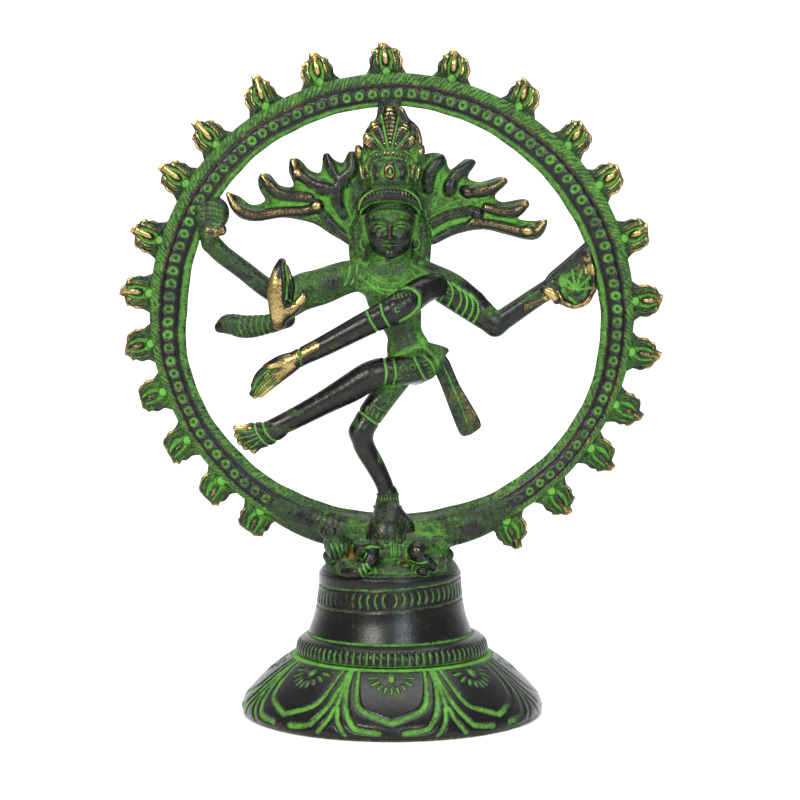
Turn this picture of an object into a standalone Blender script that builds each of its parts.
"""A small cast brass Nataraja: the dancing figure in a ring of flames, on a bell pedestal.

Run with: blender --background --python part.py

Lengths below are in millimetres, and MM turns them into Blender's metres when a mesh is made.
+Z is up, the figure faces -Y, and the ring stands in the XZ plane.
"left" and "right" in a name are the figure's own, so its left side is +X.
Members that are brazed or wax-joined on the real statue are separate solids GAP apart.
"""

import math

import bmesh
import bpy
from mathutils import Vector
from mathutils.bvhtree import BVHTree

MM = 0.001
GAP = 0.3

# Driving dimensions
BASE_RADIUS = 45.4
BASE_HEIGHT = 17.6
COLLAR_HEIGHT = 5.4
BELL_HEIGHT = 18.7
WALL = 2.2
THROAT = 22.0
RING_CENTRE_Z = 120.0
RING_INNER = 62.6
RING_OUTER = 72.4
RING_DEPTH = 4.8
RING_SQUASH = 0.98
FLAME_HEIGHT = 8.8
FLAME_WIDTH = 9.0
FLAME_DEPTH = 3.2
TOP_FLAME_DEGREES = -1.3
FLAME_DEGREES_RIGHT = (148, 136, 123, 110, 98, 86, 73, 58, 46, 31, 17)
FLAME_DEGREES_LEFT = (14, 31, 46, 58, 72, 87, 99, 112, 124, 138, 151)
HAIR_DEPTH = 3.0
HEAD_X = -0.6

# Heights that follow from them
COLLAR_Z = BASE_HEIGHT + GAP
BELL_Z = COLLAR_Z + COLLAR_HEIGHT + GAP
MOUND_Z = BELL_Z + BELL_HEIGHT + GAP

# How finely round things are divided
REVOLVE_STEPS = 48
RING_STEPS = 96
LIMB_SIDES = 10

# A limb's chamfered end: how far it reaches and how wide it stays, as shares of the last section
END_REACH = 0.35
END_SHARE = 0.6

SIDEWAYS = Vector((1, 0, 0))
BACKWARDS = Vector((0, 1, 0))

# Finishes: linear colour, roughness, metallic
VERDIGRIS = ((0.085, 0.3, 0.045), 0.6, 0.25)
DARK_PATINA = ((0.022, 0.022, 0.025), 0.28, 0.85)
MOTTLED = ((0.05, 0.12, 0.035), 0.5, 0.5)
WORN_BRASS = ((0.42, 0.28, 0.1), 0.35, 1.0)


# ---------------------------------------------------------------- tools


def clear_scene():
    for obj in list(bpy.data.objects):
        bpy.data.objects.remove(obj, do_unlink=True)


def paint(obj, finish):
    """Give the object its own Principled material."""
    colour, roughness, metallic = finish
    material = bpy.data.materials.new(obj.name + "_brass")
    material.use_nodes = True
    shader = material.node_tree.nodes["Principled BSDF"]
    shader.inputs["Base Color"].default_value = (*colour, 1.0)
    shader.inputs["Roughness"].default_value = roughness
    shader.inputs["Metallic"].default_value = metallic
    material.diffuse_color = (*colour, 1.0)
    obj.data.materials.append(material)


def add_piece(name, bm, finish, smooth=True):
    """Turn a bmesh in millimetres into a named object with outward faces."""
    bmesh.ops.recalc_face_normals(bm, faces=bm.faces)
    bmesh.ops.scale(bm, vec=Vector((MM, MM, MM)), verts=bm.verts)
    mesh = bpy.data.meshes.new(name)
    bm.to_mesh(mesh)
    bm.free()
    if smooth:
        mesh.shade_smooth()
    obj = bpy.data.objects.new(name, mesh)
    bpy.context.scene.collection.objects.link(obj)
    paint(obj, finish)
    return obj


def ring_of_verts(bm, centre, half_width, half_depth, sides, across=SIDEWAYS, up=BACKWARDS):
    """An elliptical ring of vertices round a centre, level unless its two axes are given."""
    verts = []
    for i in range(sides):
        angle = 2 * math.pi * i / sides
        offset = across * (half_width * math.cos(angle)) + up * (half_depth * math.sin(angle))
        verts.append(bm.verts.new(centre + offset))
    return verts


def bridge(bm, first, second):
    """Join two rings of the same length with quads."""
    count = len(first)
    for i in range(count):
        j = (i + 1) % count
        bm.faces.new((first[i], first[j], second[j], second[i]))


def smooth_path(stations, steps):
    """Catmull-Rom points through stations of any length of numbers."""
    rows = [Vector(s) for s in stations]
    rows = [rows[0] * 2 - rows[1]] + rows + [rows[-1] * 2 - rows[-2]]
    out = []
    for a, b, c, d in zip(rows, rows[1:], rows[2:], rows[3:]):
        for k in range(steps):
            t = k / steps
            out.append(
                b
                + (c - a) * (0.5 * t)
                + (a * 2 - b * 5 + c * 4 - d) * (0.5 * t * t)
                + (b * 3 - a - c * 3 + d) * (0.5 * t * t * t)
            )
    out.append(rows[-2])
    return out


def rounded_end(last, previous):
    """A smaller section a little past a limb's last one, so that its end is chamfered."""
    point, half_width, half_depth = last
    outward = (point - previous[0]).normalized()
    reach = END_REACH * min(half_width, half_depth)
    return point + outward * reach, END_SHARE * half_width, END_SHARE * half_depth


def limb(name, stations, finish, steps=2, sides=LIMB_SIDES):
    """A closed member lofted through stations of (x, y, z, half width, half depth).

    Half width is measured in the XZ plane across the path, half depth towards the viewer.
    """
    bm = bmesh.new()
    rows = [(Vector(row[:3]), row[3], row[4]) for row in smooth_path(stations, steps)]
    rows = [rounded_end(rows[0], rows[1])] + rows + [rounded_end(rows[-1], rows[-2])]
    rings = []
    for i, (point, half_width, half_depth) in enumerate(rows):
        along = (rows[min(i + 1, len(rows) - 1)][0] - rows[max(i - 1, 0)][0]).normalized()
        across = along.cross(BACKWARDS).normalized()
        depth = across.cross(along).normalized()
        rings.append(ring_of_verts(bm, point, half_width, half_depth, sides, across, depth))
    for first, second in zip(rings, rings[1:]):
        bridge(bm, first, second)
    bm.faces.new(rings[0])
    bm.faces.new(rings[-1])
    return add_piece(name, bm, finish)


def stack(name, levels, finish, sides=16):
    """A closed upright body through levels of (x, y, z, half width, half depth)."""
    bm = bmesh.new()
    rings = [ring_of_verts(bm, Vector(v[:3]), v[3], v[4], sides) for v in levels]
    for first, second in zip(rings, rings[1:]):
        bridge(bm, first, second)
    bm.faces.new(rings[0])
    bm.faces.new(rings[-1])
    return add_piece(name, bm, finish)


def revolve(name, profile, finish):
    """A body of revolution about Z from a closed profile of (radius, z)."""
    bm = bmesh.new()
    rings = [ring_of_verts(bm, Vector((0, 0, z)), r, r, REVOLVE_STEPS) for r, z in profile]
    for first, second in zip(rings, rings[1:] + rings[:1]):
        bridge(bm, first, second)
    return add_piece(name, bm, finish)


def cup(name, outer, inner, finish):
    """A body of revolution closed over the axis by a disc on its outer and inner face."""
    bm = bmesh.new()
    rings = [ring_of_verts(bm, Vector((0, 0, z)), r, r, REVOLVE_STEPS) for r, z in outer + inner]
    for first, second in zip(rings, rings[1:]):
        bridge(bm, first, second)
    bm.faces.new(rings[0])
    bm.faces.new(rings[-1])
    return add_piece(name, bm, finish)


def plate(name, outline, y_front, y_back, finish):
    """A flat member: an outline of (x, z) given a depth."""
    bm = bmesh.new()
    front = [bm.verts.new((x, y_front, z)) for x, z in outline]
    back = [bm.verts.new((x, y_back, z)) for x, z in outline]
    bridge(bm, front, back)
    bm.faces.new(front)
    bm.faces.new(back)
    return add_piece(name, bm, finish, smooth=False)


def grown_mesh(obj):
    """The piece's own mesh, one GAP larger all round."""
    bm = bmesh.new()
    bm.from_mesh(obj.data)
    bm.normal_update()
    moves = [v.normal * (GAP * MM * min(2.0, v.calc_shell_factor())) for v in bm.verts]
    for vert, move in zip(bm.verts, moves):
        vert.co += move
    return bm


def touches(piece, bm):
    """True if the piece's surface crosses a bmesh."""
    own = bmesh.new()
    own.from_mesh(piece.data)
    crossing = BVHTree.FromBMesh(own).overlap(BVHTree.FromBMesh(bm))
    own.free()
    return bool(crossing)


def combine(piece, other, operation):
    """Join a hidden helper to a piece, or cut the helper's shape out of it."""
    other.hide_render = True
    other.display_type = "WIRE"
    boolean = piece.modifiers.new(operation.lower() + "_" + other.name, "BOOLEAN")
    boolean.operation = operation
    boolean.solver = "EXACT"
    boolean.object = other


def clear_pieces():
    """Trim each piece so that it meets every piece made before it with a clearance of GAP."""
    shapes = list(bpy.context.scene.collection.objects)
    for i, first in enumerate(shapes):
        bm = grown_mesh(first)
        later = [p for p in shapes[i + 1 :] if not p.hide_render and touches(p, bm)]
        if later:
            mesh = bpy.data.meshes.new(first.name + "_clearance")
            bm.to_mesh(mesh)
            cutter = bpy.data.objects.new(mesh.name, mesh)
            bpy.context.scene.collection.objects.link(cutter)
            for piece in later:
                combine(piece, cutter, "DIFFERENCE")
        bm.free()


# ---------------------------------------------------------------- pedestal


def make_lotus_base():
    """The flared foot, an open-bottomed shell with a hole at the top into the bell."""
    rim = 2.8
    profile = [
        (BASE_RADIUS - 0.3, 0.0),
        (BASE_RADIUS, 1.6),
        (44.6, 4.6),
        (42.2, 8.2),
        (38.6, 12.2),
        (34.4, 15.6),
        (30.2, BASE_HEIGHT),
        (THROAT, BASE_HEIGHT),
        (THROAT, BASE_HEIGHT - WALL),
        (32.6, 13.8),
        (38.0, 9.6),
        (41.6, 4.4),
        (BASE_RADIUS - rim, 0.0),
    ]
    revolve("lotus_base", profile, DARK_PATINA)


def make_collar():
    """The knurled roll between the foot and the bell."""
    top = COLLAR_Z + COLLAR_HEIGHT
    profile = [
        (29.9, COLLAR_Z),
        (29.6, COLLAR_Z + 2.2),
        (28.6, top - 1.4),
        (26.8, top),
        (THROAT, top),
        (THROAT, COLLAR_Z),
    ]
    revolve("knurled_collar", profile, DARK_PATINA)


def make_bell():
    """The bell-shaped pedestal: a cup upside down, its crown carrying the mound."""
    top = BELL_Z + BELL_HEIGHT
    outer = [(20.6, top), (21.3, top - 0.7), (21.5, 38.0), (22.0, 34.0), (22.8, 29.5), (24.6, BELL_Z)]
    inner = [(THROAT, BELL_Z), (20.4, 29.5), (19.6, 34.0), (19.0, top - WALL)]
    cup("bell_pedestal", outer, inner, DARK_PATINA)


def make_mound():
    """The rocky mound that the ring stands in and the dwarf lies on."""
    levels = [
        (0, 0, MOUND_Z, 20.2, 19.8),
        (0, 0, MOUND_Z + 1.6, 19.6, 18.4),
        (-0.5, -0.5, 47.0, 18.6, 14.8),
        (-0.5, -0.5, 52.0, 18.8, 11.4),
        (-0.5, -0.3, 56.5, 16.5, 8.0),
        (-1.0, -0.3, 58.2, 12.0, 6.0),
    ]
    stack("mound", levels, MOTTLED, sides=24)


def make_dwarf():
    """The dwarf lying across the front of the mound, in the parts it was pressed from."""
    limb(
        "dwarf_trunk",
        [(-9.0, -10.5, 50.2, 3.0, 3.4), (0.0, -12.5, 49.0, 4.2, 4.4), (7.0, -12.0, 48.6, 3.4, 3.6)],
        MOTTLED,
    )
    limb(
        "dwarf_head",
        [(-17.6, -8.5, 54.0, 3.2, 3.2), (-16.6, -10.0, 51.2, 4.0, 4.0), (-15.4, -10.5, 48.4, 3.0, 3.2)],
        MOTTLED,
    )
    limb(
        "dwarf_arm",
        [
            (-5.2, -16.0, 51.2, 2.2, 2.2),
            (-6.0, -17.4, 47.6, 2.4, 2.3),
            (-9.0, -18.2, 44.8, 2.1, 2.0),
            (-12.6, -17.2, 44.2, 1.7, 1.6),
        ],
        DARK_PATINA,
    )
    limb(
        "dwarf_leg",
        [
            (4.4, -14.0, 50.0, 2.8, 2.6),
            (7.8, -15.6, 50.6, 3.2, 3.1),
            (10.6, -15.8, 47.6, 2.6, 2.4),
            (13.4, -14.6, 45.0, 1.8, 1.7),
        ],
        DARK_PATINA,
    )


# ---------------------------------------------------------------- ring of flames


def ring_point(radius, angle, y):
    """A point of the ring's plane, its angle measured from the top towards +X."""
    x = radius * math.sin(angle)
    z = RING_CENTRE_Z + RING_SQUASH * radius * math.cos(angle)
    return Vector((x, y, z))


def make_ring():
    """The hoop: a raised rim each side of a shallow channel, on the front and the back."""
    half = RING_DEPTH / 2
    channel = half - 0.5
    inner_rim = RING_INNER + 2.6
    outer_rim = RING_OUTER - 2.6
    front = [
        (RING_INNER, half - 0.9),
        (RING_INNER + 0.9, half),
        (inner_rim, half),
        (inner_rim + 0.4, channel),
        (outer_rim - 0.4, channel),
        (outer_rim, half),
        (RING_OUTER - 0.6, half),
        (RING_OUTER, half - 0.6),
    ]
    section = [(r, -y) for r, y in front] + [(r, y) for r, y in reversed(front)]
    bm = bmesh.new()
    loops = []
    for i in range(RING_STEPS):
        angle = 2 * math.pi * i / RING_STEPS
        loops.append([bm.verts.new(ring_point(r, angle, y)) for r, y in section])
    for first, second in zip(loops, loops[1:] + loops[:1]):
        bridge(bm, first, second)
    add_piece("flame_ring", bm, VERDIGRIS)


def make_flame(number, angle):
    """One tongue of flame: a fan of lobes on the ring's outer edge."""
    half = FLAME_WIDTH / 2
    outline = [
        (-0.62 * half, 0.0),
        (-0.95 * half, 0.32 * FLAME_HEIGHT),
        (-1.0 * half, 0.66 * FLAME_HEIGHT),
        (-0.68 * half, 0.84 * FLAME_HEIGHT),
        (-0.36 * half, 0.8 * FLAME_HEIGHT),
        (0.0, FLAME_HEIGHT),
        (0.36 * half, 0.8 * FLAME_HEIGHT),
        (0.68 * half, 0.84 * FLAME_HEIGHT),
        (1.0 * half, 0.66 * FLAME_HEIGHT),
        (0.95 * half, 0.32 * FLAME_HEIGHT),
        (0.62 * half, 0.0),
    ]
    root = ring_point(RING_OUTER, angle, 0.0)
    outward = Vector((math.sin(angle), 0, math.cos(angle) / RING_SQUASH)).normalized()
    along = Vector((outward.z, 0, -outward.x))
    root += outward * GAP
    points = [root + along * u + outward * v for u, v in outline]
    edge = [(p.x, p.z) for p in points]
    plate(f"flame_{number:02d}", edge, -FLAME_DEPTH / 2, FLAME_DEPTH / 2, VERDIGRIS)


def make_flames():
    """One tongue at the top and eleven down each side, spaced by hand and so not quite evenly."""
    degrees = [-d for d in FLAME_DEGREES_RIGHT] + [TOP_FLAME_DEGREES] + list(FLAME_DEGREES_LEFT)
    for number, angle in enumerate(degrees, 1):
        make_flame(number, math.radians(angle))


# ---------------------------------------------------------------- figure


def make_torso():
    levels = [
        (4.8, -1.6, 108.2, 6.0, 4.2),
        (3.6, -1.6, 113.0, 5.4, 4.0),
        (2.4, -1.6, 118.5, 7.0, 4.4),
        (0.8, -1.6, 125.0, 10.2, 4.9),
        (-0.4, -1.4, 130.0, 12.4, 4.4),
        (-0.6, -1.2, 133.2, 8.5, 3.8),
        (-0.6, -1.4, 136.0, 4.4, 3.4),
    ]
    stack("torso", levels, VERDIGRIS)


def make_loincloth():
    """The wrapped hips, from which the legs and the sash come."""
    levels = [
        (5.4, -1.8, 96.8, 6.2, 3.8),
        (5.8, -1.8, 99.0, 8.0, 4.8),
        (6.2, -1.8, 103.5, 8.4, 5.2),
        (6.4, -1.8, 107.2, 8.0, 5.0),
        (5.4, -1.7, 109.2, 6.4, 4.5),
    ]
    stack("loincloth", levels, MOTTLED)


def make_head():
    levels = [
        (HEAD_X, -4.6, 136.4, 2.0, 1.6),
        (HEAD_X, -4.0, 138.0, 4.4, 4.0),
        (HEAD_X, -3.4, 141.5, 6.2, 5.8),
        (HEAD_X, -3.0, 146.0, 7.2, 6.8),
        (HEAD_X, -2.8, 150.0, 7.4, 6.9),
        (HEAD_X, -2.6, 152.2, 7.0, 6.6),
    ]
    stack("head", levels, DARK_PATINA)


def make_side_hair():
    """The hair that falls behind the ears to the shoulders."""
    for name, side in (("right_side_hair", -1), ("left_side_hair", 1)):
        stations = [
            (HEAD_X + side * 7.4, 0.4, 151.0, 1.8, 2.4),
            (HEAD_X + side * 8.6, 0.2, 144.0, 2.6, 2.8),
            (HEAD_X + side * 10.4, 0.2, 138.4, 2.8, 2.6),
            (HEAD_X + side * 11.4, 0.2, 134.6, 2.0, 2.2),
        ]
        limb(name, stations, VERDIGRIS)


def make_crown():
    """Diadem band, tall cap, fan of feathers and the stub that joins them to the ring."""
    x, y = HEAD_X, -2.2
    diadem = [(x, y, 152.5, 7.6, 7.2), (x, y, 154.6, 8.0, 7.4), (x, y, 157.0, 7.2, 6.6)]
    stack("diadem", diadem, DARK_PATINA)
    cap = [
        (x, y + 0.4, 157.3, 6.8, 5.8),
        (x, y + 0.6, 162.0, 7.4, 5.2),
        (x, y + 0.8, 166.0, 8.0, 4.6),
        (x, y + 1.0, 168.0, 7.6, 3.8),
    ]
    stack("crown_cap", cap, VERDIGRIS)
    feathers = [
        (-7.0, 168.3),
        (-8.8, 171.0),
        (-7.6, 174.4),
        (-5.6, 176.2),
        (-3.6, 178.8),
        (-3.4, 179.8),
        (2.4, 179.8),
        (3.4, 178.0),
        (6.4, 175.4),
        (8.2, 172.0),
        (7.6, 168.3),
    ]
    plate("crown_feathers", feathers, y - 1.4, y + 3.8, VERDIGRIS)
    stub = [(-4.0, 180.1), (-3.6, 183.0), (2.8, 183.0), (3.2, 180.1)]
    plate("crown_tenon", stub, y - 0.6, y + 3.8, MOTTLED)


def make_hair_fans():
    """The flying locks on each side, cast as one webbed fan with five tips."""
    right = [
        (-12.6, 139.6),
        (-17.6, 142.8),
        (-22.4, 146.6),
        (-32.0, 148.7),
        (-43.8, 147.4),
        (-49.6, 151.6),
        (-49.0, 155.6),
        (-42.4, 152.2),
        (-38.8, 154.0),
        (-39.2, 160.6),
        (-37.4, 160.6),
        (-33.8, 158.2),
        (-30.2, 158.0),
        (-30.2, 165.4),
        (-28.4, 165.4),
        (-25.6, 162.8),
        (-20.0, 161.8),
        (-19.6, 167.2),
        (-14.8, 164.4),
        (-12.4, 167.8),
        (-8.2, 165.0),
    ]
    left = [
        (10.6, 139.7),
        (22.0, 144.2),
        (27.4, 145.2),
        (34.4, 143.6),
        (42.0, 141.2),
        (45.2, 144.6),
        (45.6, 147.4),
        (40.2, 145.8),
        (38.4, 148.4),
        (40.4, 151.8),
        (38.8, 153.2),
        (32.6, 152.2),
        (30.8, 155.0),
        (33.8, 158.4),
        (32.2, 159.8),
        (24.6, 158.8),
        (22.6, 160.8),
        (24.4, 164.4),
        (22.2, 165.2),
        (17.2, 162.6),
        (15.4, 164.2),
        (14.2, 166.6),
        (7.0, 165.0),
    ]
    for name, outline in (("right_hair_fan", right), ("left_hair_fan", left)):
        plate(name, outline, 0.0, HAIR_DEPTH, VERDIGRIS)


def make_front_left_arm():
    """The arm thrown across the chest, with its hand hanging from the wrist."""
    limb(
        "front_left_arm",
        [
            (11.6, -3.0, 128.4, 4.6, 4.2),
            (8.6, -6.6, 125.6, 4.6, 3.8),
            (2.0, -9.4, 121.6, 4.2, 3.6),
            (-9.0, -10.0, 116.2, 3.9, 3.4),
            (-20.0, -9.4, 110.4, 3.4, 3.1),
            (-28.6, -8.6, 106.0, 3.1, 2.7),
        ],
        DARK_PATINA,
    )
    limb(
        "front_left_hand",
        [
            (-29.2, -8.6, 105.6, 3.0, 2.4),
            (-33.4, -8.4, 102.6, 4.0, 2.2),
            (-37.2, -8.2, 99.2, 3.4, 1.9),
            (-40.2, -8.0, 95.4, 1.8, 1.5),
        ],
        WORN_BRASS,
    )


def make_rear_left_arm():
    """The arm held out low, with the flame in its palm touching the ring."""
    limb(
        "rear_left_arm",
        [
            (10.6, 0.6, 129.4, 4.6, 3.2),
            (19.0, 1.0, 123.6, 4.8, 3.3),
            (27.0, 1.0, 118.2, 4.0, 3.1),
            (31.4, 1.0, 116.6, 3.4, 2.9),
            (38.0, 0.8, 120.6, 3.2, 2.7),
            (47.4, 0.4, 126.4, 2.6, 2.3),
        ],
        DARK_PATINA,
        steps=3,
    )
    plate(
        "flame_in_hand",
        [
            (49.0, 124.6),
            (53.0, 121.8),
            (58.6, 123.0),
            (61.4, 126.6),
            (61.4, 131.6),
            (58.0, 135.6),
            (55.2, 137.0),
            (51.6, 134.8),
            (48.4, 131.0),
        ],
        -2.2,
        1.8,
        WORN_BRASS,
    )


def make_right_arms():
    """Both right arms, the palm held up, the drum at the ring and the ribbed snake."""
    palm = limb(
        "blessing_hand",
        [
            (-33.6, -5.0, 117.2, 1.8, 1.4),
            (-33.4, -5.6, 121.0, 3.6, 1.9),
            (-33.2, -6.0, 127.0, 3.4, 1.8),
            (-32.6, -5.8, 132.6, 2.8, 1.5),
            (-32.4, -5.4, 135.4, 1.5, 1.1),
        ],
        WORN_BRASS,
    )
    thumb = limb(
        "blessing_thumb",
        [(-31.6, -5.6, 119.8, 1.2, 1.2), (-29.0, -6.0, 121.4, 1.4, 1.2), (-27.4, -6.2, 124.0, 1.0, 0.9)],
        WORN_BRASS,
    )
    combine(palm, thumb, "UNION")
    limb(
        "front_right_arm",
        [
            (-11.0, -1.0, 130.0, 4.4, 3.6),
            (-19.0, -1.2, 127.4, 5.0, 3.6),
            (-26.0, -1.4, 124.2, 5.2, 3.4),
            (-31.6, -1.8, 121.4, 3.8, 2.6),
        ],
        VERDIGRIS,
    )
    limb(
        "rear_right_arm",
        [
            (-33.0, 0.8, 125.0, 3.2, 2.8),
            (-38.4, 0.6, 127.6, 3.3, 2.7),
            (-46.0, 0.2, 134.0, 3.1, 2.6),
            (-52.4, 0.0, 139.6, 2.9, 2.5),
        ],
        MOTTLED,
    )
    limb(
        "drum_hand",
        [
            (-53.8, -0.6, 140.8, 3.2, 2.6),
            (-54.4, -0.8, 144.4, 3.6, 2.9),
            (-55.0, -0.6, 148.4, 3.2, 2.5),
            (-55.4, -0.4, 151.6, 2.8, 2.2),
        ],
        WORN_BRASS,
    )
    limb(
        "snake",
        [
            (-33.0, -0.6, 118.0, 2.8, 2.4),
            (-40.0, -0.8, 116.2, 3.3, 2.6),
            (-47.0, -0.8, 116.4, 3.7, 2.6),
            (-52.2, -0.6, 115.2, 1.6, 1.6),
        ],
        VERDIGRIS,
    )


def make_legs():
    """The raised leg crossing the body and the bent leg that the figure stands on."""
    limb(
        "raised_leg",
        [
            (4.6, -6.0, 103.6, 4.4, 3.8),
            (-2.0, -7.4, 102.8, 4.6, 3.9),
            (-8.0, -7.8, 99.8, 4.5, 3.9),
            (-18.0, -7.2, 93.6, 3.7, 3.4),
            (-29.0, -6.2, 87.6, 2.9, 2.7),
            (-34.6, -6.0, 84.8, 2.8, 2.6),
        ],
        DARK_PATINA,
    )
    limb(
        "raised_foot",
        [
            (-34.4, -6.4, 84.0, 2.8, 2.4),
            (-38.6, -7.0, 82.6, 3.8, 2.3),
            (-43.2, -7.4, 83.6, 3.6, 2.0),
            (-46.6, -7.6, 85.2, 1.9, 1.5),
        ],
        VERDIGRIS,
    )
    limb(
        "standing_leg",
        [
            (2.4, -2.4, 98.0, 4.8, 4.0),
            (-3.6, -3.2, 91.4, 4.4, 3.8),
            (-9.0, -4.0, 83.6, 3.5, 3.4),
            (-6.8, -3.2, 77.6, 3.3, 3.1),
            (-3.0, -2.2, 71.0, 3.0, 2.8),
            (-1.4, -1.6, 66.0, 2.8, 2.6),
        ],
        DARK_PATINA,
    )
    stack(
        "anklet",
        [(-1.3, -1.5, 62.4, 3.9, 3.5), (-1.2, -1.5, 63.8, 3.6, 3.3), (-1.2, -1.5, 65.6, 3.2, 3.1)],
        VERDIGRIS,
        sides=12,
    )
    stack(
        "standing_foot",
        [
            (-1.6, -5.8, 54.2, 6.6, 6.0),
            (-1.6, -5.0, 57.2, 5.6, 5.6),
            (-1.5, -2.8, 60.0, 4.6, 4.4),
            (-1.4, -1.6, 62.1, 3.8, 3.4),
        ],
        DARK_PATINA,
    )


def make_sash():
    """The sash end that swings out from the hip, with its knot."""
    limb(
        "sash_knot",
        [(10.6, -4.4, 104.6, 2.6, 1.6), (13.4, -3.6, 106.8, 2.2, 1.6), (16.0, -2.8, 108.6, 1.2, 1.2)],
        VERDIGRIS,
    )
    limb(
        "sash",
        [
            (15.0, -2.0, 105.0, 2.6, 1.5),
            (17.4, -1.8, 99.0, 3.6, 1.6),
            (20.2, -1.6, 91.0, 3.9, 1.6),
            (22.6, -1.6, 85.4, 3.2, 1.4),
        ],
        MOTTLED,
    )


def main():
    clear_scene()
    make_lotus_base()
    make_collar()
    make_bell()
    make_ring()
    make_mound()
    make_flames()
    make_torso()
    make_loincloth()
    make_head()
    make_crown()
    make_side_hair()
    make_hair_fans()
    make_front_left_arm()
    make_rear_left_arm()
    make_right_arms()
    make_legs()
    make_sash()
    make_dwarf()
    clear_pieces()


main()
